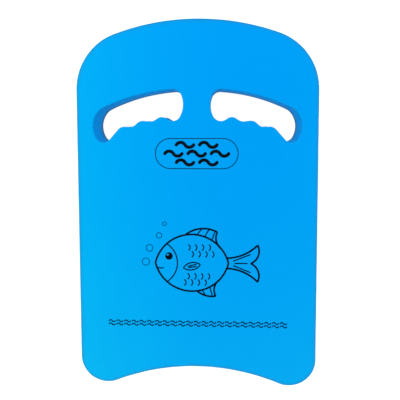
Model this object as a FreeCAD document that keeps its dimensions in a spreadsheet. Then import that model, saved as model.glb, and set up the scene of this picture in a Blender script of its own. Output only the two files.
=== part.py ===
import FreeCAD, Part
import math
import os
import Sketcher

os.makedirs("parts", exist_ok=True)

# Kickboard float, millimetres: two foam sheets bonded together, with two hand
# holes and a printed face. The board lies flat on z = 0 with the print up.
# +Y runs to the rounded nose, +X across the width to the right, and the origin
# is the middle of the underside. "Back" is the lower sheet, "front" the upper.

Vector = FreeCAD.Vector
UP = Vector(0, 0, 1)

# ---- driving dimensions

DIMS = {
    # board outline: a chain of tangent arcs, mirrored about the Y axis
    "board_length": 431.0,
    "board_width": 280.0,
    "crown_radius": 280.0,
    "shoulder_radius": 68.5,
    "corner_radius": 32.0,
    "tail_radius": 256.0,
    # lay-up through the thickness
    "back_thickness": 15.85,
    "bond_thickness": 0.3,
    "front_thickness": 15.85,
    "edge_round": 1.0,
    "bond_inset": 0.4,
    "ink_thickness": 0.15,
    # blends that close the hand hole's outer end, nose edge and inner end
    "outer_end_radius": 27.0,
    "nose_edge_radius": 219.0,
    "inner_end_radius": 29.0,
    # badge: a round-ended frame holding rows of wave marks
    "badge_y": 61.0,
    "badge_length": 97.0,
    "badge_height": 36.0,
    "badge_line": 1.0,
    "badge_wave_radius": 5.8,
    "badge_wave_run": 5.0,
    "badge_wave_line": 3.8,
    "badge_wave_pitch": 27.0,
    "badge_row_pitch": 10.2,
    "badge_long_row_count": 3,
    "badge_short_row_count": 2,
    # caption band: two rows of small wave marks
    "caption_y": -141.5,
    "caption_wave_radius": 2.0,
    "caption_wave_run": 1.8,
    "caption_wave_line": 1.3,
    "caption_wave_pitch": 9.25,
    "caption_row_pitch": 3.9,
    "caption_row_count": 23,
    # fish: stroke widths and scales
    "fish_line": 2.1,
    "detail_line": 1.4,
    "bubble_line": 0.9,
    "scale_radius": 4.0,
    "scale_half_height": 3.2,
    "scale_pitch": 8.0,
    "scale_count": 4,
    # how far a cutting cylinder stands out of the ink on each side
    "cutter_overrun": 1.0,
}

# Right hand hole, counter-clockwise from above, starting along the finger edge
# on its tail side; "inner" is nearer the Y axis. Centre x, centre y, radius.
HOLE_CIRCLES = {
    "inner_groove": (28.2, 108.85, 10.1),
    "inner_bump": (40.7, 95.0, 8.4),
    "middle_groove": (54.85, 110.95, 12.75),
    "middle_bump": (62.3, 88.8, 10.35),
    "outer_groove": (78.2, 101.8, 10.0),
    "outer_bump": (84.0, 81.7, 10.7),
    "tip_round": (109.25, 83.2, 9.35),
    "outer_round": (101.7, 97.75, 17.65),
    "inner_round": (27.6, 124.5, 10.7),
}
# Circles of foam standing into the hole; the others are hollows of the opening.
HOLE_BUMPS = ("inner_bump", "middle_bump", "outer_bump")
# Circles followed by a blend arc; the others are followed by a straight line.
HOLE_BLENDS = {
    "tip_round": "outer_end_radius",
    "outer_round": "nose_edge_radius",
    "inner_round": "inner_end_radius",
}

# The fish swims toward -X. Curved strokes: centre x, centre y, mean radius,
# start angle and sweep in degrees.
OUTLINE_ARCS = {
    "back": (-6.0, -78.2, 44.2, 13.3, 153.4),
    "belly": (-6.0, -57.8, 44.2, 193.3, 153.4),
    "dorsal_lead": (7.87, -60.93, 34.0, 61.7, 68.3),
    "dorsal_trail": (38.35, -38.08, 16.0, 153.7, 78.3),
    "anal_lead": (17.05, -81.97, 26.0, 229.0, 52.0),
    "anal_trail": (35.13, -100.2, 15.0, 127.5, 81.6),
    "tail_upper": (33.8, -9.9, 52.0, 271.3, 44.6),
    "tail_lower": (33.8, -126.1, 52.0, 44.1, 44.6),
    "lobe_upper": (56.75, -53.3, 16.0, 293.0, 94.1),
    "lobe_lower": (56.75, -82.7, 16.0, 332.9, 94.1),
}
DETAIL_ARCS = {
    "gill": (-50.0, -68.0, 27.0, 304.5, 111.0),
    "smile": (-42.5, -64.5, 10.0, 238.0, 50.0),
    "side_fin_top": (-4.1, -81.4, 14.0, 54.6, 93.5),
    "side_fin_low": (-7.9, -62.6, 14.0, 234.6, 93.5),
}
# Straight strokes: start x, start y, length, heading in degrees.
DETAIL_RAYS = {
    "dorsal_ray_front": (0.2, -34.2, 9.2, 50.5),
    "dorsal_ray_middle": (9.2, -36.3, 10.2, 58.5),
    "dorsal_ray_rear": (17.6, -40.7, 11.6, 70.5),
    "anal_ray_front": (6.2, -100.6, 7.4, 301.0),
    "anal_ray_rear": (15.2, -97.0, 11.2, 285.0),
    "tail_ray_upper": (42.5, -65.4, 22.0, 22.0),
    "tail_ray_middle": (44.0, -68.0, 15.5, 0.0),
    "tail_ray_lower": (42.5, -70.6, 22.0, 338.0),
    "side_ray_upper": (-11.0, -72.2, 11.0, 14.0),
    "side_ray_lower": (-10.0, -73.6, 9.5, 8.0),
}
# Centre x, centre y, radius (the mean radius for a bubble's ring).
BUBBLES = {
    "bubble_first": (-60.5, -67.0, 4.3),
    "bubble_second": (-56.0, -50.5, 4.0),
    "bubble_third": (-44.5, -35.5, 3.2),
    "bubble_fourth": (-38.0, -21.5, 2.2),
}
EYE_CIRCLES = {
    "eye": (-33.0, -60.0, 4.4),
    "glint": (-34.5, -58.3, 1.3),
}
# Arc centre x, y of the first scale of each row.
SCALE_ROWS = {
    "top_row": (-12.0, -49.5),
    "upper_row": (-8.0, -57.5),
    "lower_row": (-13.0, -84.0),
    "bottom_row": (-17.0, -91.5),
}

for table, columns in (
    (HOLE_CIRCLES, ("x", "y", "radius")),
    (OUTLINE_ARCS, ("x", "y", "radius", "from", "sweep")),
    (DETAIL_ARCS, ("x", "y", "radius", "from", "sweep")),
    (DETAIL_RAYS, ("x", "y", "length", "heading")),
    (BUBBLES, ("x", "y", "radius")),
    (EYE_CIRCLES, ("x", "y", "radius")),
    (SCALE_ROWS, ("x", "y")),
):
    for key, values in table.items():
        for column, value in zip(columns, values):
            DIMS[f"{key}_{column}"] = value

doc = FreeCAD.newDocument("Kickboard")
sheet = doc.addObject("Spreadsheet::Sheet", "Dims")
for row, (alias, value) in enumerate(DIMS.items(), start=1):
    sheet.set(f"A{row}", alias)
    sheet.set(f"B{row}", str(value))
    sheet.setAlias(f"B{row}", alias)
doc.recompute()


# ---- sketch helpers

# Sketcher's numbers for the points of an edge, and for the sketch's Y axis
START, END, CENTRE = 1, 2, 3
SKETCH_Y_AXIS = -2


def new_body(name):
    body = doc.addObject("PartDesign::Body", name)
    body.AllowCompound = True
    return body


def plan_sketch(body, name):
    sketch = body.newObject("Sketcher::SketchObject", name)
    plane = [f for f in body.Origin.OriginFeatures if f.Role == "XY_Plane"][0]
    sketch.AttachmentSupport = [(plane, "")]
    sketch.MapMode = "FlatFace"
    return sketch


def constrain(sketch, kind, *target):
    return sketch.addConstraint(Sketcher.Constraint(kind, *target))


def drive(sketch, name, formula, kind, *target):
    """A named dimension driven by a formula; target ends with its starting value."""
    index = constrain(sketch, kind, *target)
    sketch.renameConstraint(index, name)
    sketch.setExpression("Constraints." + name, formula)


def join_tangent(sketch, joints):
    for joint in joints:
        constrain(sketch, "Tangent", *joint)


def add_arc(sketch, x, y, radius, start, end):
    """An arc drawn counter-clockwise from start to end, in radians."""
    circle = Part.Circle(Vector(x, y, 0), UP, radius)
    return sketch.addGeometry(Part.ArcOfCircle(circle, start, end), False)


def add_arc_between(sketch, centre, radius, first, last):
    """An arc drawn counter-clockwise from point first to point last."""
    start = math.atan2(first.y - centre.y, first.x - centre.x)
    end = math.atan2(last.y - centre.y, last.x - centre.x)
    if end <= start:
        end += 2 * math.pi
    return add_arc(sketch, centre.x, centre.y, radius, start, end)


def add_line(sketch, first, last):
    return sketch.addGeometry(Part.LineSegment(Vector(*first), Vector(*last)), False)


# ---- board outline

def outline_sketch(body, name, inset=None):
    """Board outline, drawn inside the board's edge by the inset alias if given."""
    sketch = plan_sketch(body, name)
    offset = DIMS[inset] if inset else 0.0
    less = f" - Dims.{inset}" if inset else ""
    more = f" + Dims.{inset}" if inset else ""
    half_width = DIMS["board_width"] / 2 - offset
    half_length = DIMS["board_length"] / 2 - offset
    crown = DIMS["crown_radius"] - offset
    shoulder = DIMS["shoulder_radius"] - offset
    corner = DIMS["corner_radius"] - offset
    # the tail edge curves inward, its centre beyond the board, so it grows
    tail = DIMS["tail_radius"] + offset

    crown_y = half_length - crown
    shoulder_x = half_width - shoulder
    shoulder_y = crown_y + math.sqrt((crown - shoulder) ** 2 - shoulder_x ** 2)
    crown_end = math.atan2(shoulder_y - crown_y, shoulder_x)
    corner_x = half_width - corner
    corner_y = corner - half_length
    tail_y = corner_y - math.sqrt((corner + tail) ** 2 - corner_x ** 2)
    corner_start = math.atan2(tail_y - corner_y, -corner_x)
    tail_end = math.atan2(corner_y - tail_y, corner_x)

    crown_arc = add_arc(sketch, 0, crown_y, crown, crown_end, math.pi - crown_end)
    left_shoulder = add_arc(
        sketch, -shoulder_x, shoulder_y, shoulder, math.pi - crown_end, math.pi)
    left_side = add_line(sketch, (-half_width, shoulder_y, 0), (-half_width, corner_y, 0))
    left_corner = add_arc(
        sketch, -corner_x, corner_y, corner, math.pi, math.pi - corner_start)
    tail_arc = add_arc(sketch, 0, tail_y, tail, tail_end, math.pi - tail_end)
    right_corner = add_arc(sketch, corner_x, corner_y, corner, corner_start, 0)
    right_side = add_line(sketch, (half_width, corner_y, 0), (half_width, shoulder_y, 0))
    right_shoulder = add_arc(sketch, shoulder_x, shoulder_y, shoulder, 0, crown_end)

    join_tangent(sketch, (
        (crown_arc, END, left_shoulder, START),
        (left_shoulder, END, left_side, START),
        (left_side, END, left_corner, START),
        (left_corner, END, tail_arc, END),
        (tail_arc, START, right_corner, START),
        (right_corner, END, right_side, START),
        (right_side, END, right_shoulder, START),
        (right_shoulder, END, crown_arc, START),
    ))
    constrain(sketch, "Vertical", left_side)
    constrain(sketch, "Vertical", right_side)
    constrain(sketch, "PointOnObject", crown_arc, CENTRE, SKETCH_Y_AXIS)

    drive(sketch, "crown", "Dims.crown_radius" + less, "Radius", crown_arc, crown)
    drive(sketch, "crown_height", "Dims.board_length / 2 - Dims.crown_radius",
          "DistanceY", crown_arc, CENTRE, crown_y)
    for side, edge in (("right", right_shoulder), ("left", left_shoulder)):
        drive(sketch, "shoulder_" + side, "Dims.shoulder_radius" + less,
              "Radius", edge, shoulder)
    drive(sketch, "half_width_right", "Dims.board_width / 2" + less,
          "DistanceX", right_side, START, half_width)
    drive(sketch, "half_width_left", "-Dims.board_width / 2" + more,
          "DistanceX", left_side, START, -half_width)
    for side, edge in (("right", right_corner), ("left", left_corner)):
        drive(sketch, "corner_" + side, "Dims.corner_radius" + less, "Radius", edge, corner)
    for side, edge in (("right", right_corner), ("left", left_corner)):
        drive(sketch, "corner_height_" + side, "-Dims.board_length / 2 + Dims.corner_radius",
              "DistanceY", edge, CENTRE, corner_y)
    drive(sketch, "tail", "Dims.tail_radius" + more, "Radius", tail_arc, tail)
    return sketch


# ---- hand hole: circles are (centre, radius, side), with side +1 for a hollow
# of the opening and -1 for a bump of foam

def blend_between(first, second, radius):
    """Centre, start and end of the arc that wraps round two hollows."""
    first_reach = radius - first[1]
    second_reach = radius - second[1]
    gap = second[0] - first[0]
    along = (first_reach ** 2 - second_reach ** 2 + gap.Length ** 2) / (2 * gap.Length)
    aside = math.sqrt(first_reach ** 2 - along ** 2)
    unit = gap * (1 / gap.Length)
    centre = first[0] + unit * along + Vector(-unit.y, unit.x, 0) * aside
    start = centre + (first[0] - centre) * (radius / first_reach)
    end = centre + (second[0] - centre) * (radius / second_reach)
    return centre, start, end


def tangent_between(first, second):
    """Start and end of the line that touches two circles on the foam side."""
    first_offset = first[1] * first[2]
    second_offset = second[1] * second[2]
    gap = second[0] - first[0]
    turn = math.asin((second_offset - first_offset) / gap.Length)
    heading = math.atan2(gap.y, gap.x) - turn
    normal = Vector(-math.sin(heading), math.cos(heading), 0)
    return first[0] - normal * first_offset, second[0] - normal * second_offset


def hole_sketch(body, name, inset=None):
    """Right hand hole, its walls moved out into the foam by the inset alias if given."""
    sketch = plan_sketch(body, name)
    offset = DIMS[inset] if inset else 0.0
    grown = {
        1: f" + Dims.{inset}" if inset else "",
        -1: f" - Dims.{inset}" if inset else "",
    }
    circles = []
    for key, (x, y, radius) in HOLE_CIRCLES.items():
        side = -1 if key in HOLE_BUMPS else 1
        circles.append((Vector(x, y, 0), radius + side * offset, side))

    # joins[i] is (blend radius or None, blend centre or None, start, end)
    joins = []
    for i, key in enumerate(HOLE_CIRCLES):
        following = circles[(i + 1) % len(circles)]
        if key in HOLE_BLENDS:
            radius = DIMS[HOLE_BLENDS[key]] + offset
            joins.append((radius, *blend_between(circles[i], following, radius)))
        else:
            joins.append((None, None, *tangent_between(circles[i], following)))

    walked = []  # (edge, point where the walk enters, point where it leaves)
    for i, key in enumerate(HOLE_CIRCLES):
        centre, radius, side = circles[i]
        blend_radius, blend_centre, leave, arrive = joins[i]
        enter = joins[i - 1][3]
        if side > 0:
            edge = add_arc_between(sketch, centre, radius, enter, leave)
            walked.append((edge, START, END))
        else:
            edge = add_arc_between(sketch, centre, radius, leave, enter)
            walked.append((edge, END, START))
        drive(sketch, key + "_across", f"Dims.{key}_x", "DistanceX", edge, CENTRE, centre.x)
        drive(sketch, key + "_along", f"Dims.{key}_y", "DistanceY", edge, CENTRE, centre.y)
        drive(sketch, key + "_size", f"Dims.{key}_radius{grown[side]}", "Radius", edge, radius)
        if blend_radius is None:
            edge = add_line(sketch, leave, arrive)
        else:
            edge = add_arc_between(sketch, blend_centre, blend_radius, leave, arrive)
            blend = HOLE_BLENDS[key]
            drive(sketch, blend, f"Dims.{blend}{grown[1]}", "Radius", edge, blend_radius)
        walked.append((edge, START, END))

    for (edge, _, leave), (following, enter, _) in zip(walked, walked[1:] + walked[:1]):
        constrain(sketch, "Tangent", edge, leave, following, enter)
    return sketch


# ---- features

def pad(body, sketch, name, thickness):
    feature = body.newObject("PartDesign::Pad", name)
    feature.Profile = sketch
    feature.Type = "Length"
    feature.setExpression("Length", "Dims." + thickness)
    sketch.Visibility = False
    body.Tip = feature
    return feature


def pad_row(body, sketch, name, pitch, count):
    """Ink the sketch and repeat it along +X."""
    ink = pad(body, sketch, name + "_ink", "ink_thickness")
    pattern = body.newObject("PartDesign::LinearPattern", name + "_marks")
    pattern.Originals = [ink]
    pattern.Direction = (sketch, ["H_Axis"])
    pattern.Mode = "Spacing"
    pattern.setExpression("Offset", "Dims." + pitch)
    pattern.setExpression("Occurrences", "Dims." + count)
    body.Tip = pattern


# ---- foam sheets and the bond between them

def foam_layer(name, thickness, height=None, inset=None):
    """A slab of the board's outline with both hand holes, raised by a height formula."""
    body = new_body(name)
    outline = outline_sketch(body, name + "_outline", inset)
    pad(body, outline, name + "_slab", thickness)
    grip = hole_sketch(body, name + "_grip", inset)
    doc.recompute()
    pocket = body.newObject("PartDesign::Pocket", name + "_hand_hole")
    pocket.Profile = grip
    pocket.Type = "ThroughAll"
    pocket.Reversed = True  # the slab lies above the sketch
    grip.Visibility = False
    body.Tip = pocket
    doc.recompute()
    pair = body.newObject("PartDesign::Mirrored", name + "_hand_hole_pair")
    pair.Originals = [pocket]
    pair.MirrorPlane = (grip, ["V_Axis"])
    body.Tip = pair
    doc.recompute()
    if height:
        body.setExpression("Placement.Base.z", height)
    return body


def round_rim(body, name, at_top):
    """Soft rim along every edge of one broad face, the outline and both hand holes."""
    tolerance = 1e-3
    pair = body.Tip
    bounds = pair.Shape.BoundBox
    level = bounds.ZMax if at_top else bounds.ZMin
    rim = [
        f"Edge{i}"
        for i, edge in enumerate(pair.Shape.Edges, start=1)
        if abs(edge.BoundBox.ZMin - level) < tolerance
        and abs(edge.BoundBox.ZMax - level) < tolerance
    ]
    fillet = body.newObject("PartDesign::Fillet", name)
    fillet.Base = (pair, rim)
    fillet.setExpression("Radius", "Dims.edge_round")
    body.Tip = fillet


# ---- badge and caption

def badge_frame():
    """Round-ended frame line: an outer and an inner racetrack."""
    body = new_body("badge_frame_print")
    sketch = plan_sketch(body, "badge_frame")
    centre_x = (DIMS["badge_length"] - DIMS["badge_height"]) / 2
    centre_formula = "(Dims.badge_length - Dims.badge_height) / 2"
    y = DIMS["badge_y"]
    for tag, inset, less in (("outer", 0.0, ""), ("inner", DIMS["badge_line"], " - Dims.badge_line")):
        radius = DIMS["badge_height"] / 2 - inset
        top = add_line(sketch, (centre_x, y + radius, 0), (-centre_x, y + radius, 0))
        left = add_arc(sketch, -centre_x, y, radius, math.pi / 2, 1.5 * math.pi)
        low = add_line(sketch, (-centre_x, y - radius, 0), (centre_x, y - radius, 0))
        right = add_arc(sketch, centre_x, y, radius, -math.pi / 2, math.pi / 2)
        join_tangent(sketch, (
            (top, END, left, START),
            (left, END, low, START),
            (low, END, right, START),
            (right, END, top, START),
        ))
        constrain(sketch, "Horizontal", top)
        constrain(sketch, "Horizontal", low)
        drive(sketch, tag + "_end", "Dims.badge_height / 2" + less, "Radius", right, radius)
        drive(sketch, tag + "_right", centre_formula, "DistanceX", right, CENTRE, centre_x)
        drive(sketch, tag + "_left", "-" + centre_formula, "DistanceX", left, CENTRE, -centre_x)
        drive(sketch, tag + "_height", "Dims.badge_y", "DistanceY", right, CENTRE, y)
    pad(body, sketch, "badge_frame_ink", "ink_thickness")
    return body


def wave_mark(sketch, tag, kind, count, rows_up):
    """First mark of a row centred on x = 0, rows_up row pitches above the band's middle.

    An S-shaped stroke: a crest arc on the left and a trough arc on the right,
    of equal radius, meeting at (x, y), with round ends.
    """
    radius = DIMS[kind + "_wave_radius"]
    run = DIMS[kind + "_wave_run"]
    half_line = DIMS[kind + "_wave_line"] / 2
    x = -DIMS[kind + "_wave_pitch"] * (DIMS[count] - 1) / 2
    y = DIMS[kind + "_y"] + rows_up * DIMS[kind + "_row_pitch"]
    drop = math.sqrt(radius * radius - run * run)
    half = math.asin(run / radius)
    up, down = math.pi / 2, -math.pi / 2

    crest = (x - run, y - drop)
    trough = (x + run, y + drop)
    crest_out = add_arc(sketch, *crest, radius + half_line, up - half, up + half)
    crest_in = add_arc(sketch, *crest, radius - half_line, up - half, up + half)
    trough_out = add_arc(sketch, *trough, radius + half_line, down - half, down + half)
    trough_in = add_arc(sketch, *trough, radius - half_line, down - half, down + half)
    left = add_arc(sketch, x - 2 * run, y, half_line, up + half, up + half + math.pi)
    right = add_arc(sketch, x + 2 * run, y, half_line, down + half, down + half + math.pi)
    join_tangent(sketch, (
        (crest_out, END, left, START),
        (crest_in, END, left, END),
        (crest_out, START, trough_in, START),
        (crest_in, START, trough_out, START),
        (trough_out, END, right, START),
        (trough_in, END, right, END),
    ))
    constrain(sketch, "Coincident", crest_out, CENTRE, crest_in, CENTRE)
    constrain(sketch, "Coincident", trough_out, CENTRE, trough_in, CENTRE)

    wave = f"Dims.{kind}_wave_"
    x_formula = f"-{wave}pitch * (Dims.{count} - 1) / 2"
    y_formula = f"Dims.{kind}_y + ({rows_up}) * Dims.{kind}_row_pitch"
    drop_formula = f"sqrt({wave}radius * {wave}radius - {wave}run * {wave}run)"
    drive(sketch, tag + "_crest_x", f"{x_formula} - {wave}run",
          "DistanceX", crest_out, CENTRE, crest[0])
    drive(sketch, tag + "_crest_y", f"{y_formula} - {drop_formula}",
          "DistanceY", crest_out, CENTRE, crest[1])
    drive(sketch, tag + "_trough_x", f"{x_formula} + {wave}run",
          "DistanceX", trough_out, CENTRE, trough[0])
    drive(sketch, tag + "_trough_y", f"{y_formula} + {drop_formula}",
          "DistanceY", trough_out, CENTRE, trough[1])
    drive(sketch, tag + "_crest_size", f"{wave}radius + {wave}line / 2",
          "Radius", crest_out, radius + half_line)
    drive(sketch, tag + "_stroke", f"{wave}line / 2", "Radius", left, half_line)
    drive(sketch, tag + "_left_end", y_formula, "DistanceY", left, CENTRE, y)
    drive(sketch, tag + "_right_end", y_formula, "DistanceY", right, CENTRE, y)


def wave_rows(body, name, kind, count, rows):
    """Rows of wave marks that share a count; rows maps a tag to row pitches up."""
    sketch = plan_sketch(body, name + "_row")
    for tag, rows_up in rows.items():
        wave_mark(sketch, f"{name}_{tag}", kind, count, rows_up)
    pad_row(body, sketch, name, kind + "_wave_pitch", count)


def badge_waves():
    body = new_body("badge_wave_print")
    wave_rows(body, "badge_long", "badge", "badge_long_row_count", {"mid": 0})
    wave_rows(body, "badge_short", "badge", "badge_short_row_count", {"top": 1, "low": -1})
    return body


def caption_band():
    body = new_body("wavelet_line_print")
    wave_rows(body, "wavelet", "caption", "caption_row_count", {"top": 0.5, "low": -0.5})
    return body


# ---- fish scales

def bow_mark(sketch, key, x, y):
    """A bowed stroke, hollow side left, its arc centred on (x, y), with round ends."""
    radius = DIMS["scale_radius"]
    half_height = DIMS["scale_half_height"]
    half_line = DIMS["detail_line"] / 2
    half = math.asin(half_height / radius)
    reach = math.sqrt(radius * radius - half_height ** 2)
    outer = add_arc(sketch, x, y, radius + half_line, -half, half)
    inner = add_arc(sketch, x, y, radius - half_line, -half, half)
    top = add_arc(sketch, x + reach, y + half_height, half_line, half, half + math.pi)
    low = add_arc(
        sketch, x + reach, y - half_height, half_line, math.pi - half, 2 * math.pi - half)
    join_tangent(sketch, (
        (outer, END, top, START),
        (inner, END, top, END),
        (inner, START, low, START),
        (outer, START, low, END),
    ))
    constrain(sketch, "Coincident", outer, CENTRE, inner, CENTRE)
    drive(sketch, key + "_across", f"Dims.{key}_x", "DistanceX", outer, CENTRE, x)
    drive(sketch, key + "_along", f"Dims.{key}_y", "DistanceY", outer, CENTRE, y)
    drive(sketch, key + "_size", "Dims.scale_radius + Dims.detail_line / 2",
          "Radius", outer, radius + half_line)
    drive(sketch, key + "_stroke", "Dims.detail_line / 2", "Radius", top, half_line)
    drive(sketch, key + "_top", f"Dims.{key}_y + Dims.scale_half_height",
          "DistanceY", top, CENTRE, y + half_height)
    drive(sketch, key + "_low", f"Dims.{key}_y - Dims.scale_half_height",
          "DistanceY", low, CENTRE, y - half_height)


def fish_scales():
    body = new_body("fish_scale_print")
    sketch = plan_sketch(body, "scale_column")
    for key, (x, y) in SCALE_ROWS.items():
        bow_mark(sketch, key, x, y)
    pad_row(body, sketch, "scale", "scale_pitch", "scale_count")
    return body


# ---- fish strokes, cut from discs and bars

def turn_about_z(solid, formula):
    # a non-zero starting turn fixes the axis, so the formula can drive the angle
    solid.Placement.Rotation = FreeCAD.Rotation(UP, 1)
    solid.setExpression("Placement.Rotation.Angle", formula)


def disc(name, key, radius):
    """An ink-thick disc at the centre named by key."""
    cylinder = doc.addObject("Part::Cylinder", name)
    cylinder.setExpression("Placement.Base.x", f"Dims.{key}_x")
    cylinder.setExpression("Placement.Base.y", f"Dims.{key}_y")
    cylinder.setExpression("Radius", radius)
    cylinder.setExpression("Height", "Dims.ink_thickness")
    return cylinder


def through_disc(name, key, radius):
    """A disc that stands out of the ink above and below, for cutting."""
    cylinder = disc(name, key, radius)
    cylinder.setExpression("Height", "Dims.ink_thickness + 2 * Dims.cutter_overrun")
    cylinder.setExpression("Placement.Base.z", "-Dims.cutter_overrun")
    return cylinder


def cut(name, base, tool):
    result = doc.addObject("Part::Cut", name)
    result.Base = base
    result.Tool = tool
    return result


def fuse(name, shapes):
    result = doc.addObject("Part::MultiFuse", name)
    result.Shapes = shapes
    result.Refine = True
    return result


def ring_stroke(key, width, swept):
    """A ring about a mean radius, or only its swept sector."""
    outer = disc(key + "_outer", key, f"Dims.{key}_radius + Dims.{width} / 2")
    if swept:
        outer.setExpression("Angle", f"Dims.{key}_sweep")
        turn_about_z(outer, f"Dims.{key}_from")
    inner = through_disc(key + "_inner", key, f"Dims.{key}_radius - Dims.{width} / 2")
    return cut(key + "_stroke", outer, inner)


def ray_stroke(key, width):
    """A bar centred on the line that leaves the start point at its heading."""
    bar = doc.addObject("Part::Box", key + "_bar")
    bar.setExpression("Length", f"Dims.{key}_length")
    bar.setExpression("Width", "Dims." + width)
    bar.setExpression("Height", "Dims.ink_thickness")
    turn_about_z(bar, f"Dims.{key}_heading")
    heading = f"Dims.{key}_heading * 1 deg"
    bar.setExpression("Placement.Base.x", f"Dims.{key}_x + sin({heading}) * Dims.{width} / 2")
    bar.setExpression("Placement.Base.y", f"Dims.{key}_y - cos({heading}) * Dims.{width} / 2")
    return bar


def fish_lines():
    """The outline print and the detail print."""
    outline_strokes = [ring_stroke(key, "fish_line", True) for key in OUTLINE_ARCS]
    outline = fuse("fish_outline_print", outline_strokes)
    detail_strokes = [ring_stroke(key, "detail_line", True) for key in DETAIL_ARCS]
    detail_strokes += [ray_stroke(key, "detail_line") for key in DETAIL_RAYS]
    # the detail stops where it meets the outline, so the two never share space
    detail = cut(
        "fish_detail_print",
        fuse("detail_strokes", detail_strokes),
        fuse("outline_cutter", outline_strokes),
    )
    return [outline, detail]


def bubbles():
    return fuse("bubble_print", [ring_stroke(key, "bubble_line", False) for key in BUBBLES])


def fish_eye():
    return cut(
        "fish_eye_print",
        disc("eye_disc", "eye", "Dims.eye_radius"),
        through_disc("eye_glint", "glint", "Dims.glint_radius"),
    )


# ---- the pieces

back = foam_layer("back_foam_sheet", "back_thickness")
round_rim(back, "back_rim", at_top=False)
bond = foam_layer("bond_film", "bond_thickness", "Dims.back_thickness", "bond_inset")
front = foam_layer(
    "front_foam_sheet", "front_thickness", "Dims.back_thickness + Dims.bond_thickness")
round_rim(front, "front_rim", at_top=True)

prints = [badge_frame(), badge_waves(), caption_band(), fish_scales()]
prints += fish_lines()
prints += [bubbles(), fish_eye()]
for piece in prints:
    piece.setExpression(
        "Placement.Base.z", "Dims.back_thickness + Dims.bond_thickness + Dims.front_thickness")

doc.recompute()

# ---- checks, then one STEP file for each piece

failed = [o.Name for o in doc.Objects if set(o.State) & {"Invalid", "Error"}]
if failed:
    raise RuntimeError("objects in error: " + ", ".join(failed))
sketches = [o for o in doc.Objects if o.TypeId == "Sketcher::SketchObject"]
unsolved = [sketch.Name for sketch in sketches if sketch.solve() != 0]
if unsolved:
    raise RuntimeError("sketches that don't solve: " + ", ".join(unsolved))

pieces = [back, bond, front] + prints
for piece in pieces:
    if piece.Shape.isNull() or not piece.Shape.isValid() or piece.Shape.Volume <= 0:
        raise RuntimeError(piece.Label + ": bad shape")
for piece in pieces:
    piece.Shape.exportStep(f"parts/{piece.Label}.step")
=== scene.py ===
import math

import bmesh
import bpy
import numpy as np
from mathutils import Matrix, Vector
from mathutils.geometry import delaunay_2d_cdt


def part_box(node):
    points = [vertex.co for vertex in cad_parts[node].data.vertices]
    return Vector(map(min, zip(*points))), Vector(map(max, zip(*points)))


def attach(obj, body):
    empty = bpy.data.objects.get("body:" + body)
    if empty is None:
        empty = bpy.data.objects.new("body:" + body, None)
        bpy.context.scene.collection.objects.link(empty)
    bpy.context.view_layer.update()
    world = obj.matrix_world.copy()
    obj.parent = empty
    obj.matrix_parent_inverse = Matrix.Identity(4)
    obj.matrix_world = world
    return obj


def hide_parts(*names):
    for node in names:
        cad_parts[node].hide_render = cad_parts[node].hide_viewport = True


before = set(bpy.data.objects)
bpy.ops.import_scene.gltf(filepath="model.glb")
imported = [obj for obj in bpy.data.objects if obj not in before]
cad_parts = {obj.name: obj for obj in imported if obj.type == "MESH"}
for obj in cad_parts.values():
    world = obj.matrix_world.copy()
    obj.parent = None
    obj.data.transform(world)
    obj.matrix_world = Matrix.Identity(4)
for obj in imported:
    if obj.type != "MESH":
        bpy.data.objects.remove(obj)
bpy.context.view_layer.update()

MM = 0.001
rng = np.random.default_rng(2024)

# ------------------------------------------------------------------ board plan
# The board's plan in millimetres: tangent arcs, the same chain the CAD uses.
LENGTH, WIDTH = 431.0, 280.0
CROWN, SHOULDER, CORNER, TAIL = 280.0, 68.5, 32.0, 256.0
HOLE = [  # centre x, centre y, radius, +1 hollow of the opening / -1 finger bump
    (28.2, 108.85, 10.1, 1), (40.7, 95, 8.4, -1), (54.85, 110.95, 12.75, 1),
    (62.3, 88.8, 10.35, -1), (78.2, 101.8, 10, 1), (84, 81.7, 10.7, -1),
    (109.25, 83.2, 9.35, 1), (101.7, 97.75, 17.65, 1), (27.6, 124.5, 10.7, 1),
]
BLEND = {6: 27.0, 7: 219.0, 8: 29.0}
STEP = 1.1


def sample_arc(c, r, a0, a1):
    """Points and directions away from the centre, from angle a0 to a1 (either way), last point left out."""
    n = max(4, int(abs(a1 - a0) * r / STEP))
    t = np.linspace(a0, a1, n, endpoint=False)
    out = np.c_[np.cos(t), np.sin(t)]
    return np.array(c) + r * out, out


def sample_line(p, q):
    p, q = np.array(p, float), np.array(q, float)
    d = q - p
    n = max(1, int(np.hypot(*d) / STEP))
    t = np.linspace(0, 1, n, endpoint=False)[:, None]
    left = np.array([-d[1], d[0]]) / np.hypot(*d)
    return p + t * d, np.repeat(left[None], n, 0)


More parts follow.
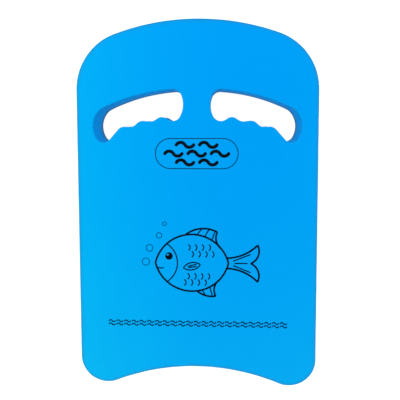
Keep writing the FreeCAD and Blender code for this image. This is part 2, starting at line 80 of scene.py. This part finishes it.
def outer_loop():
    """Counter-clockwise outline and unit normals pointing into the foam."""
    hw, hl = WIDTH / 2, LENGTH / 2
    cy = hl - CROWN
    sx = hw - SHOULDER
    sy = cy + math.sqrt((CROWN - SHOULDER) ** 2 - sx ** 2)
    meet = math.atan2(sy - cy, sx)
    kx, ky = hw - CORNER, -hl + CORNER
    ty = ky - math.sqrt((CORNER + TAIL) ** 2 - kx ** 2)
    turn = math.atan2(ty - ky, -kx)
    rise = math.atan2(ky - ty, kx)
    parts = []
    for c, r, a0, a1, s in (
        ((kx, ky), CORNER, turn, 0.0, -1),
        ("line", (hw, ky), (hw, sy), 0, 0),
        ((sx, sy), SHOULDER, 0.0, meet, -1),
        ((0.0, cy), CROWN, meet, math.pi - meet, -1),
        ((-sx, sy), SHOULDER, math.pi - meet, math.pi, -1),
        ("line", (-hw, sy), (-hw, ky), 0, 0),
        ((-kx, ky), CORNER, math.pi, math.pi + (-turn), -1),
        ((0.0, ty), TAIL, math.pi - rise, rise, 1),
    ):
        if c == "line":
            p, n = sample_line(r, a0)
        else:
            p, o = sample_arc(c, r, a0, a1)
            n = o * s
        parts.append((p, n))
    return np.vstack([p for p, _ in parts]), np.vstack([n for _, n in parts])


def hole_loop(side):
    """Outline of a hand hole and unit normals pointing into the foam."""
    n = len(HOLE)
    starts, ends, joins = [None] * n, [None] * n, []
    for i in range(n):
        x1, y1, r1, s1 = HOLE[i]
        x2, y2, r2, s2 = HOLE[(i + 1) % n]
        dx, dy = x2 - x1, y2 - y1
        gap = math.hypot(dx, dy)
        if i in BLEND:
            big = BLEND[i]
            a, b = big - r1, big - r2
            x = (a * a - b * b + gap * gap) / (2 * gap)
            h = math.sqrt(a * a - x * x)
            ux, uy = dx / gap, dy / gap
            c = (x1 + ux * x - uy * h, y1 + uy * x + ux * h)
            p = [c[j] + big * ((x1, y1)[j] - c[j]) / math.dist((x1, y1), c) for j in (0, 1)]
            q = [c[j] + big * ((x2, y2)[j] - c[j]) / math.dist((x2, y2), c) for j in (0, 1)]
            joins.append(("arc", p, q, c, big))
        else:
            th = math.atan2(dy, dx) - math.asin((s2 * r2 - s1 * r1) / gap)
            nx, ny = -math.sin(th), math.cos(th)
            p = (x1 - s1 * r1 * nx, y1 - s1 * r1 * ny)
            q = (x2 - s2 * r2 * nx, y2 - s2 * r2 * ny)
            joins.append(("line", p, q))
        ends[i], starts[(i + 1) % n] = p, q

    def ang(c, p):
        return math.atan2(p[1] - c[1], p[0] - c[0])

    parts = []
    for i, (x, y, r, s) in enumerate(HOLE):
        a0, a1 = ang((x, y), starts[i]), ang((x, y), ends[i])
        if s > 0:
            while a1 <= a0:
                a1 += 2 * math.pi
        else:
            while a1 >= a0:
                a1 -= 2 * math.pi
        p, o = sample_arc((x, y), r, a0, a1)
        parts.append((p, o * s))
        j = joins[i]
        if j[0] == "line":
            p, left = sample_line(j[1], j[2])
            parts.append((p, -left))
        else:
            a0, a1 = ang(j[3], j[1]), ang(j[3], j[2])
            while a1 <= a0:
                a1 += 2 * math.pi
            p, o = sample_arc(j[3], j[4], a0, a1)
            parts.append((p, o))
    P, N = np.vstack([p for p, _ in parts]), np.vstack([n for _, n in parts])
    if side < 0:
        P, N = P[::-1] * [-1, 1], N[::-1] * [-1, 1]
    return P, N


LOOPS = [outer_loop(), hole_loop(1), hole_loop(-1)]


# --------------------------------------------------------------- smooth noise
def waves(count, longest, shortest, dims):
    k = rng.normal(size=(count, dims))
    k /= np.linalg.norm(k, axis=1, keepdims=True)
    length = np.exp(rng.uniform(np.log(shortest), np.log(longest), count))
    return k * (2 * np.pi / length)[:, None], rng.uniform(0, 2 * np.pi, count), (length / longest) ** 0.7


def field(p, w):
    k, phase, amp = w
    v = np.sin(p @ k.T + phase) @ amp
    return v / np.sqrt((amp ** 2).sum())


FACE_LONG = waves(14, 120.0, 35.0, 2)
FACE_FINE = waves(26, 16.0, 5.0, 2)
WALL_WAVE = waves(22, 46.0, 9.0, 2)
WALL_FINE = waves(30, 7.0, 2.6, 3)
RIM_WAVE = waves(18, 60.0, 12.0, 2)


def inside(points, loop):
    x, y = points[:, 0][:, None], points[:, 1][:, None]
    x0, y0 = loop[:, 0], loop[:, 1]
    x1, y1 = np.roll(x0, -1), np.roll(y0, -1)
    out = np.zeros(len(points), bool)
    for s in range(0, len(points), 4000):
        px, py = x[s:s + 4000], y[s:s + 4000]
        hit = (y0 > py) != (y1 > py)
        with np.errstate(divide="ignore", invalid="ignore"):
            xc = (x1 - x0) * (py - y0) / (y1 - y0) + x0
        out[s:s + 4000] = (hit & (px < xc)).sum(1) % 2 == 1
    return out


def clearance(points, loops):
    """Distance from each point to the nearest loop point."""
    far = np.full(len(points), 1e9)
    for loop in loops:
        for s in range(0, len(points), 4000):
            d = np.hypot(points[s:s + 4000, None, 0] - loop[None, :, 0], points[s:s + 4000, None, 1] - loop[None, :, 1])
            far[s:s + 4000] = np.minimum(far[s:s + 4000], d.min(1))
    return far


PRINTS = [[np.array(corner)[:2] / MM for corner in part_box(node)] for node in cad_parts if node.endswith("_print")]


def off_print(points):
    """0 under the prints and 1 well clear of them, so that the ink sits down on flat foam."""
    far = np.full(len(points), 1e9)
    for lo, hi in PRINTS:
        far = np.minimum(far, np.hypot(*np.maximum(np.maximum(lo - points, points - hi), 0).T))
    return np.clip((far - 4.0) / 12.0, 0, 1)


def fill_mesh(loops, spacing):
    """Triangles over the flat region between the outer loop and the holes, with a staggered grid of inner points.
    Returns points (loop points first, in order) and triangles."""
    outer = loops[0]
    lo, hi = outer.min(0), outer.max(0)
    rows = np.arange(lo[1] + spacing, hi[1], spacing * 0.866)
    grid = np.vstack([
        np.c_[np.arange(lo[0] + spacing * (0.5 + 0.5 * (i % 2)), hi[0], spacing), np.full(len(np.arange(lo[0] + spacing * (0.5 + 0.5 * (i % 2)), hi[0], spacing)), y)]
        for i, y in enumerate(rows)
    ])
    keep = inside(grid, outer)
    for h in loops[1:]:
        keep &= ~inside(grid, h)
    grid = grid[keep]
    grid = grid[clearance(grid, loops) > spacing * 0.62]
    points, edges, start = [], [], 0
    for loop in loops:
        n = len(loop)
        points.append(loop)
        edges += [(start + i, start + (i + 1) % n) for i in range(n)]
        start += n
    points.append(grid)
    points = np.vstack(points)
    verts, _, faces, orig, _, _ = delaunay_2d_cdt([Vector(p) for p in points], edges, [], 0, 1e-6, True)
    home = [o[0] if o else -1 for o in orig]
    tri = np.array([[home[i] for i in f] for f in faces])
    tri = tri[(tri >= 0).all(1)]
    mid = points[tri].mean(1)
    ok = inside(mid, outer)
    for h in loops[1:]:
        ok &= ~inside(mid, h)
    tri = tri[ok]
    a, b, c = points[tri[:, 0]], points[tri[:, 1]], points[tri[:, 2]]
    turn = (b[:, 0] - a[:, 0]) * (c[:, 1] - a[:, 1]) - (b[:, 1] - a[:, 1]) * (c[:, 0] - a[:, 0])
    tri[turn < 0] = tri[turn < 0][:, ::-1]
    return points, tri[np.abs(turn) > 1e-9]


def hourglass(z):
    """How far the cut wall draws in at height z: a knife squeezes the foam, which springs back narrow-waisted."""
    t = np.clip((z - 16.0) / 16.0, -1, 1)
    return 0.32 * (1 - t * t)


def foam_sheet(name, z_low, z_high, soft_low, soft_high, show_high):
    """A foam sheet with die-cut walls. soft_low and soft_high are the edge radii in mm at its two faces."""
    profile = []
    for k in range(7):
        a = math.radians(90 * k / 6)
        profile.append((soft_high * (1 - math.sin(a)), z_high - soft_high * (1 - math.cos(a)), "rim"))
    for z in np.linspace(z_high - soft_high, z_low + soft_low, 11)[1:-1]:
        profile.append((0.0, z, "wall"))
    for k in range(7):
        a = math.radians(90 * k / 6)
        profile.append((soft_low * (1 - math.cos(a)), z_low + soft_low * (1 - math.sin(a)), "rim"))

    verts, faces, base, brim = [], [], 0, []
    tops, lows = [], []
    for k, (P, N) in enumerate(LOOPS):
        n = len(P)
        soft = 1 + 0.16 * field(P, RIM_WAVE)
        sway = field(P, WALL_WAVE)
        for row, (inset, z, kind) in enumerate(profile):
            zz = np.full(n, z)
            d = inset * soft + hourglass(zz) + 0.055 * sway * (1 - 0.3 * np.cos(z / 5.0))
            d = d + 0.03 * field(np.c_[P, zz * 0.6], WALL_FINE) * (1.0 if kind == "wall" else 0.35)
            q = P + N * np.maximum(d, 0.0)[:, None]
            verts.append(np.c_[q, zz])
            brim.append(np.full(n, 1.0 if k == 0 else 0.0))
            if row == 0:
                tops.append((q, base))
            if row == len(profile) - 1:
                lows.append((q, base + row * n))
        for row in range(len(profile) - 1):
            i = base + row * n + np.arange(n)
            j = base + row * n + (np.arange(n) + 1) % n
            faces.append(np.c_[i, i + n, j + n, j])
        base += n * len(profile)

    tris = []
    for which, spacing, up, z in ((tops, 3.2 if show_high else 5.0, True, z_high), (lows, 5.0 if show_high else 3.2, False, z_low)):
        loops = [q for q, _ in which]
        pts, tri = fill_mesh(loops, spacing)
        count = sum(len(q) for q in loops)
        index = np.concatenate([s + np.arange(len(q)) for q, s in which] + [base + np.arange(len(pts) - count)])
        inner = pts[count:]
        calm = np.clip(clearance(inner, loops) / 9.0, 0, 1)
        shown = up == show_high
        if up and shown:
            calm = calm * off_print(inner)
        dip = (0.045 * (1 + field(inner, FACE_LONG)) + 0.012 * (1 + field(inner, FACE_FINE))) * calm if shown else np.zeros(len(inner))
        dip = np.clip(dip, 0, 0.13)
        verts.append(np.c_[inner, np.full(len(inner), z) + (-dip if up else dip)])
        brim.append(np.zeros(len(inner)))
        t = index[tri]
        tris.append(t if up else t[:, ::-1])
        base += len(inner)

    mesh = bpy.data.meshes.new(name)
    coords = np.vstack(verts) * MM
    polys = [tuple(int(x) for x in f) for block in faces for f in block]
    polys += [tuple(int(x) for x in f) for block in tris for f in block]
    mesh.from_pydata([tuple(c) for c in coords], [], polys)
    bm = bmesh.new()
    bm.from_mesh(mesh)
    bmesh.ops.recalc_face_normals(bm, faces=bm.faces)
    bm.to_mesh(mesh)
    bm.free()
    mesh.polygons.foreach_set("use_smooth", [True] * len(mesh.polygons))
    mesh.attributes.new("brim", "FLOAT", "POINT").data.foreach_set("value", np.concatenate(brim).astype(np.float32))
    mesh.update()
    obj = bpy.data.objects.new(name, mesh)
    bpy.context.scene.collection.objects.link(obj)
    return obj


# ------------------------------------------------------------------ materials
def new_material(name):
    m = bpy.data.materials.new(name)
    m.use_nodes = True
    m.node_tree.nodes.clear()
    return m, m.node_tree.nodes, m.node_tree.links


class Graph:
    def __init__(self, name):
        self.m, self.nodes, self.links = new_material(name)

    def node(self, kind, **values):
        n = self.nodes.new(kind)
        for k, v in values.items():
            setattr(n, k, v)
        return n

    def wire(self, a, b):
        self.links.new(a, b)

    def math(self, op, a, b=None, c=None, clamp=False):
        n = self.node("ShaderNodeMath", operation=op, use_clamp=clamp)
        for i, v in enumerate((a, b, c)):
            if v is None:
                continue
            if isinstance(v, (int, float)):
                n.inputs[i].default_value = v
            else:
                self.wire(v, n.inputs[i])
        return n.outputs[0]

    def ramp(self, v, low, high, a=0.0, b=1.0, smooth=False):
        n = self.node("ShaderNodeMapRange", clamp=True)
        if smooth:
            n.interpolation_type = "SMOOTHSTEP"
        self.wire(v, n.inputs["Value"])
        n.inputs["From Min"].default_value, n.inputs["From Max"].default_value = low, high
        n.inputs["To Min"].default_value, n.inputs["To Max"].default_value = a, b
        return n.outputs["Result"]

    def mix(self, f, a, b, blend="MIX"):
        n = self.node("ShaderNodeMix", data_type="RGBA", blend_type=blend)
        for key, v in (("Factor", f), ("A", a), ("B", b)):
            sock = [s for s in n.inputs if s.name == key and (s.type == "RGBA" or key == "Factor")][0]
            if isinstance(v, (int, float)):
                sock.default_value = v
            elif isinstance(v, tuple):
                sock.default_value = (*v, 1.0)[:4]
            else:
                self.wire(v, sock)
        return [s for s in n.outputs if s.type == "RGBA"][0]

    def noise(self, vec, cell_mm, detail=2.0, rough=0.5):
        n = self.node("ShaderNodeTexNoise")
        n.inputs["Scale"].default_value = 1000.0 / cell_mm
        n.inputs["Detail"].default_value = detail
        n.inputs["Roughness"].default_value = rough
        self.wire(vec, n.inputs["Vector"])
        return n.outputs["Fac"]

    def cells(self, vec, cell_mm, feature="F1"):
        n = self.node("ShaderNodeTexVoronoi", feature=feature)
        n.inputs["Scale"].default_value = 1000.0 / cell_mm
        self.wire(vec, n.inputs["Vector"])
        return n.outputs["Distance"]

    def stretched(self, vec, scale):
        n = self.node("ShaderNodeMapping")
        n.inputs["Scale"].default_value = scale
        self.wire(vec, n.inputs["Vector"])
        return n.outputs["Vector"]

    def bump(self, height, distance, strength=1.0, normal=None):
        n = self.node("ShaderNodeBump")
        n.inputs["Distance"].default_value = distance
        n.inputs["Strength"].default_value = strength
        self.wire(height, n.inputs["Height"])
        if normal is not None:
            self.wire(normal, n.inputs["Normal"])
        return n.outputs["Normal"]


FACE_BLUE = (0.0, 0.2760, 0.690)
# painted light: tilt and curve of a fall of light over the face, laid into the foam colour
PAINTED_LIGHT_LEAN = (-0.120, -0.110, 0.120, 0.066)


def foam_material(name, shade=1.0):
    """Skived closed-cell foam: a tight matte skin on the broad faces, cut cells on the walls."""
    g = Graph(name)
    out = g.node("ShaderNodeOutputMaterial")
    bsdf = g.node("ShaderNodeBsdfPrincipled")
    g.wire(bsdf.outputs[0], out.inputs["Surface"])
    tex = g.node("ShaderNodeTexCoord").outputs["Object"]
    geo = g.node("ShaderNodeNewGeometry")
    split = g.node("ShaderNodeSeparateXYZ")
    g.wire(geo.outputs["Normal"], split.inputs[0])
    flat = g.ramp(g.math("ABSOLUTE", split.outputs["Z"]), 0.55, 0.92, 0.0, 1.0, smooth=True)
    place = g.node("ShaderNodeSeparateXYZ")
    g.wire(tex, place.inputs[0])

    # broad faces: cloudy dye, tight skin cells, the odd open cell
    cloud = g.noise(tex, 46.0, 3.0, 0.55)
    mottle = g.noise(tex, 5.5, 3.0, 0.6)
    skin = g.cells(tex, 0.62)
    pores = g.cells(tex, 2.7)
    pore = g.ramp(pores, 0.045, 0.10, 1.0, 0.0)
    # painted light: the blue is made greener, and so lighter, towards one side and the tail, a fall of lamp light laid
    # into the colour
    x = g.math("MULTIPLY", place.outputs["X"], 1 / 0.140)
    y = g.math("MULTIPLY", place.outputs["Y"], 1 / 0.215)
    painted_light_gain = g.math("ADD", 1.0, g.math("MULTIPLY", x, PAINTED_LIGHT_LEAN[0]))
    painted_light_gain = g.math("ADD", painted_light_gain, g.math("MULTIPLY", y, PAINTED_LIGHT_LEAN[1]))
    painted_light_gain = g.math("ADD", painted_light_gain, g.math("MULTIPLY", g.math("MULTIPLY", x, x), PAINTED_LIGHT_LEAN[2]))
    painted_light_gain = g.math("ADD", painted_light_gain, g.math("MULTIPLY", g.math("MULTIPLY", y, y), PAINTED_LIGHT_LEAN[3]))
    base = g.node("ShaderNodeCombineXYZ")
    g.wire(g.math("MULTIPLY", painted_light_gain, FACE_BLUE[1] * shade), base.inputs["Y"])
    base.inputs["Z"].default_value = FACE_BLUE[2] * shade
    tone = base.outputs[0]
    tone = g.mix(g.ramp(cloud, 0.3, 0.7, 0.0, 0.10), tone, (0.0, 0.240 * shade, 0.600 * shade))
    tone = g.mix(g.ramp(mottle, 0.35, 0.70, 0.0, 0.07), tone, (0.0, 0.32, 0.70))
    tone = g.mix(g.ramp(skin, 0.1, 0.6, 0.0, 0.14), tone, (0.0, 0.20, 0.54))
    # painted shade: the open cells, pitted by the bump below, are also darkened
    tone = g.mix(g.math("MULTIPLY", pore, 0.22), tone, (0.0, 0.15, 0.46))

    # cut walls: opened cells, slightly deeper colour, knife lines up the wall
    wall_cells = g.cells(g.stretched(tex, (1.0, 1.0, 0.72)), 0.85)
    wall_fine = g.noise(tex, 0.5, 2.0, 0.6)
    knife = g.noise(g.stretched(tex, (1.0, 1.0, 0.04)), 1.9, 2.0, 0.6)
    wall_tone = g.mix(g.ramp(knife, 0.35, 0.65, 0.0, 0.16), (0.0, 0.405 * shade, 0.880 * shade), (0.0, 0.305, 0.72))
    wall_tone = g.mix(g.ramp(wall_cells, 0.12, 0.55, 0.0, 0.42), wall_tone, (0.0, 0.232, 0.61))
    body = g.mix(flat, wall_tone, tone)
    # soft rims: painted highlight, a paler band on the rims round the hand holes; painted shade, a deeper band round
    # the outline
    bent = g.math("ABSOLUTE", split.outputs["Z"])
    rim = g.math("MULTIPLY", g.ramp(bent, 0.10, 0.45, 0.0, 1.0), g.ramp(bent, 0.80, 0.995, 1.0, 0.0))
    patchy = g.ramp(g.noise(tex, 9.0, 3.0, 0.6), 0.35, 0.65, 0.45, 1.0)
    brim = g.node("ShaderNodeAttribute", attribute_name="brim").outputs["Fac"]
    # painted highlight: the hole rims are made paler, as if catching light
    painted_rim_highlight = g.math("MULTIPLY", g.math("MULTIPLY", rim, patchy), g.math("SUBTRACT", 1.0, brim, clamp=True))
    body = g.mix(g.math("MULTIPLY", painted_rim_highlight, 0.62), body, (0.005, 0.335, 0.72))
    # painted shade: the rounded rims round the outline, at the face and at the seam, darkened as if turned away from
    # the light
    painted_rim_shade = g.math("MULTIPLY", g.math("MULTIPLY", brim, g.ramp(bent, 0.10, 0.45, 0.0, 1.0)), g.ramp(patchy, 0.45, 1.0, 0.8, 1.0))
    body = g.mix(g.math("MULTIPLY", painted_rim_shade, 0.55), body, (0.012, 0.170, 0.360))
    # painted shade: the lowest few millimetres of the walls are darkened grey where they meet the floor, most of all in
    # the hand holes
    low = g.math("MULTIPLY", g.ramp(place.outputs["Z"], 0.0030, 0.0130, 0.92, 0.0), g.ramp(flat, 0.0, 0.6, 1.0, 0.0))
    low = g.math("MULTIPLY", low, g.ramp(g.noise(tex, 6.0, 3.0, 0.6), 0.3, 0.7, 0.7, 1.0))
    low = g.math("MULTIPLY", low, g.ramp(brim, 0.0, 1.0, 1.0, 0.35))
    body = g.mix(low, body, (0.050, 0.150, 0.270))
    g.wire(body, bsdf.inputs["Base Color"])

    face_h = g.math("ADD", g.math("MULTIPLY", skin, 0.55), g.math("MULTIPLY", g.noise(tex, 2.2, 2.0, 0.55), 0.8))
    face_h = g.math("SUBTRACT", face_h, g.math("MULTIPLY", pore, 0.8))
    wall_h = g.math("ADD", g.math("MULTIPLY", wall_cells, 1.0), g.math("MULTIPLY", wall_fine, 0.5))
    wall_h = g.math("ADD", wall_h, g.math("MULTIPLY", knife, 0.9))
    n1 = g.bump(face_h, 0.00007, 1.0)
    n2 = g.bump(wall_h, 0.00022, 1.0)
    pick = g.node("ShaderNodeMix", data_type="VECTOR")
    vec_in = [s for s in pick.inputs if s.type == "VECTOR"]
    g.wire(flat, pick.inputs["Factor"] if "Factor" in pick.inputs else pick.inputs[0])
    g.wire(n2, vec_in[0])
    g.wire(n1, vec_in[1])
    g.wire([s for s in pick.outputs if s.type == "VECTOR"][0], bsdf.inputs["Normal"])

    rough = g.math("ADD", g.ramp(mottle, 0.3, 0.7, 0.50, 0.60), g.math("MULTIPLY", g.math("SUBTRACT", 1.0, flat), 0.20))
    g.wire(rough, bsdf.inputs["Roughness"])
    g.wire(g.ramp(flat, 0.0, 1.0, 0.012, 0.10), bsdf.inputs["Specular IOR Level"])
    bsdf.inputs["Specular Tint"].default_value = (0.0, 0.6, 1.0, 1.0)
    return g.m


def ink_material(name, thin=0.0, navy=0.0):
    """Screen ink on foam: black, a little glossier than the foam, with pinholes where it missed the open cells."""
    g = Graph(name)
    out = g.node("ShaderNodeOutputMaterial")
    bsdf = g.node("ShaderNodeBsdfPrincipled")
    g.wire(bsdf.outputs[0], out.inputs["Surface"])
    tex = g.node("ShaderNodeTexCoord").outputs["Object"]
    missed = g.ramp(g.cells(tex, 1.7), 0.04, 0.09, 0.85, 0.0)
    drag = g.ramp(g.noise(tex, 0.8, 3.0, 0.65), 0.64, 0.80, 0.0, 0.45)
    holes = g.math("MAXIMUM", missed, drag, clamp=True)
    black = g.mix(g.ramp(g.noise(tex, 7.0), 0.3, 0.7, 0.0, 1.0), (0.0008, 0.001, 0.002 + navy), (0.002, 0.003, 0.007 + navy))
    if thin:
        black = g.mix(thin, black, (0.0, 0.16, 0.42))
    g.wire(g.mix(holes, black, (0.0, 0.20, 0.52)), bsdf.inputs["Base Color"])
    g.wire(g.ramp(g.noise(tex, 2.0), 0.3, 0.7, 0.38, 0.52), bsdf.inputs["Roughness"])
    bsdf.inputs["Specular IOR Level"].default_value = 0.02
    h = g.math("ADD", g.math("MULTIPLY", g.cells(tex, 0.62), 0.6), g.noise(tex, 2.2))
    g.wire(g.bump(h, 0.00002, 0.8), bsdf.inputs["Normal"])
    return g.m


def bond_material(name):
    g = Graph(name)
    out = g.node("ShaderNodeOutputMaterial")
    bsdf = g.node("ShaderNodeBsdfPrincipled")
    g.wire(bsdf.outputs[0], out.inputs["Surface"])
    tex = g.node("ShaderNodeTexCoord").outputs["Object"]
    streak = g.noise(g.stretched(tex, (1.0, 1.0, 3.0)), 3.0, 3.0, 0.6)
    g.wire(g.mix(g.ramp(streak, 0.35, 0.65, 0.0, 1.0), (0.0, 0.15, 0.42), (0.0, 0.22, 0.54)), bsdf.inputs["Base Color"])
    g.wire(g.ramp(streak, 0.3, 0.7, 0.40, 0.65), bsdf.inputs["Roughness"])
    bsdf.inputs["Specular IOR Level"].default_value = 0.2
    g.wire(g.bump(streak, 0.00005, 0.7), bsdf.inputs["Normal"])
    return g.m


def dress(obj, material):
    obj.data.materials.clear()
    obj.data.materials.append(material)
    for p in obj.data.polygons:
        p.material_index = 0


front = foam_sheet("front_foam", 16.15, 32.0, 0.35, 1.25, True)
back = foam_sheet("back_foam", 0.0, 15.85, 1.25, 0.35, False)
dress(front, foam_material("front_foam_blue"))
dress(back, foam_material("back_foam_blue", 0.99))
for piece, node, slot in ((front, "front_foam_sheet", "front_foam"), (back, "back_foam_sheet", "back_foam")):
    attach(piece, "root")
    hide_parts(node)

dress(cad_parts["bond_film"], bond_material("bond_line"))
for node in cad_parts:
    if node.endswith("_print"):
        thin = {"bubble_print": 0.35, "badge_frame_print": 0.15, "wavelet_line_print": 0.05}.get(node, 0.0)
        navy = {"wavelet_line_print": 0.022, "fish_outline_print": 0.007, "fish_detail_print": 0.012, "fish_scale_print": 0.010}.get(node, 0.0)
        dress(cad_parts[node], ink_material(node + "_ink", thin, navy))


# ---------------------------------------------------------------------- stage
floor_mesh = bpy.data.meshes.new("floor")
floor_mesh.from_pydata([(-30, -30, -0.0004), (30, -30, -0.0004), (30, 30, -0.0004), (-30, 30, -0.0004)], [], [(0, 1, 2, 3)])
floor = bpy.data.objects.new("floor", floor_mesh)
bpy.context.scene.collection.objects.link(floor)
g = Graph("pale_floor")
out = g.node("ShaderNodeOutputMaterial")
bsdf = g.node("ShaderNodeBsdfPrincipled")
bsdf.inputs["Roughness"].default_value = 0.9
bsdf.inputs["Specular IOR Level"].default_value = 0.0
tex = g.node("ShaderNodeTexCoord").outputs["Object"]
split = g.node("ShaderNodeSeparateXYZ")
g.wire(tex, split.inputs[0])
# painted light: the white table glows of itself, brightest under the openings, so they read as clean white
ex = g.math("ABSOLUTE", g.math("MULTIPLY", split.outputs["X"], 1 / 0.136))
ey = g.math("ABSOLUTE", g.math("MULTIPLY", g.math("SUBTRACT", split.outputs["Y"], 0.104), 1 / 0.050))
lit = g.ramp(g.math("MAXIMUM", ex, ey), 0.90, 1.0, 1.0, 0.0, smooth=True)
g.wire(g.ramp(lit, 0.0, 1.0, 0.78, 0.10), bsdf.inputs["Base Color"])
# and fading up to the white surround far away, so there is no horizon
far = g.node("ShaderNodeVectorMath", operation="LENGTH")
g.wire(tex, far.inputs[0])
glow = g.ramp(far.outputs["Value"], 0.7, 3.5, 0.30, 1.05, smooth=True)
bsdf.inputs["Emission Color"].default_value = (1, 1, 1, 1)
g.wire(g.math("MAXIMUM", glow, g.math("MULTIPLY", lit, 0.95)), bsdf.inputs["Emission Strength"])
g.wire(bsdf.outputs[0], out.inputs["Surface"])
dress(floor, g.m)

world = bpy.data.worlds.new("studio")
bpy.context.scene.world = world
world.use_nodes = True
bg = world.node_tree.nodes["Background"]
bg.inputs["Color"].default_value = (0.97, 0.985, 1.0, 1.0)
# soft surround for the light, plain white where the lens sees past the floor
seen = world.node_tree.nodes.new("ShaderNodeLightPath")
level = world.node_tree.nodes.new("ShaderNodeMapRange")
level.inputs["To Min"].default_value, level.inputs["To Max"].default_value = 0.62, 1.05
world.node_tree.links.new(seen.outputs["Is Camera Ray"], level.inputs["Value"])
world.node_tree.links.new(level.outputs["Result"], bg.inputs["Strength"])


def softbox(name, at, aim, size, power, colour=(1, 1, 1)):
    d = bpy.data.lights.new(name, "AREA")
    d.shape = "RECTANGLE"
    d.size, d.size_y = size
    d.energy = power
    d.color = colour
    o = bpy.data.objects.new(name, d)
    bpy.context.scene.collection.objects.link(o)
    o.location = at
    o.rotation_mode = "QUATERNION"
    o.rotation_quaternion = (Vector(aim) - Vector(at)).to_track_quat("-Z", "Y")
    o.visible_camera = False
    return o


softbox("overhead", (-0.18, 0.81, 2.52), (0, 0.02, 0), (2.7, 2.34), 55.0)
softbox("left_fill", (-1.52, 0.08, 1.04), (0, 0.0, 0), (1.3, 1.4), 6.6)
softbox("right_fill", (1.52, 0.24, 1.04), (0, 0.0, 0), (1.3, 1.4), 5.2)

# --------------------------------------------------------------------- camera
# Close above the nose half, looking almost straight down with an off-centre
# lens. The lens shift belongs to this place only, so it is driven by the
# camera's own height and is zero anywhere else.
HERO = (0.024638, 0.094444, 0.360613)
RIGHT = Vector((0.9996376, -0.0011013, -0.0268987))
DOWN = Vector((-0.0000016, -0.9991653, 0.0408498))
AHEAD = Vector((-0.0269213, -0.0408350, -0.9988032))
cam_data = bpy.data.cameras.new("camera")
cam = bpy.data.objects.new("camera", cam_data)
bpy.context.scene.collection.objects.link(cam)
cam_data.sensor_width = 36.0
cam_data.lens = 285.253 / 400 * 36.0
cam_data.clip_start, cam_data.clip_end = 0.01, 50.0
m = Matrix.Identity(4)
for i, axis in enumerate((RIGHT, -DOWN, -AHEAD)):
    for j in range(3):
        m[j][i] = axis[j]
m.translation = Vector(HERO)
cam.matrix_world = m
bpy.context.scene.camera = cam
for path, value in (("shift_x", -0.025546), ("shift_y", -0.159058)):
    curve = cam_data.driver_add(path)
    drv = curve.driver
    drv.type = "SCRIPTED"
    for k, axis in enumerate("xyz"):
        var = drv.variables.new()
        var.name = "c" + axis
        var.type = "SINGLE_PROP"
        var.targets[0].id_type = "OBJECT"
        var.targets[0].id = cam
        var.targets[0].data_path = "location[%d]" % k
    drv.expression = "%f if abs(cx - %f) + abs(cy - %f) + abs(cz - %f) < 0.002 else 0.0" % (value, *HERO)

scene = bpy.context.scene
scene.view_settings.view_transform = "Standard"
scene.view_settings.look = "None"
scene.view_settings.exposure = 0.0
scene.view_settings.gamma = 1.0
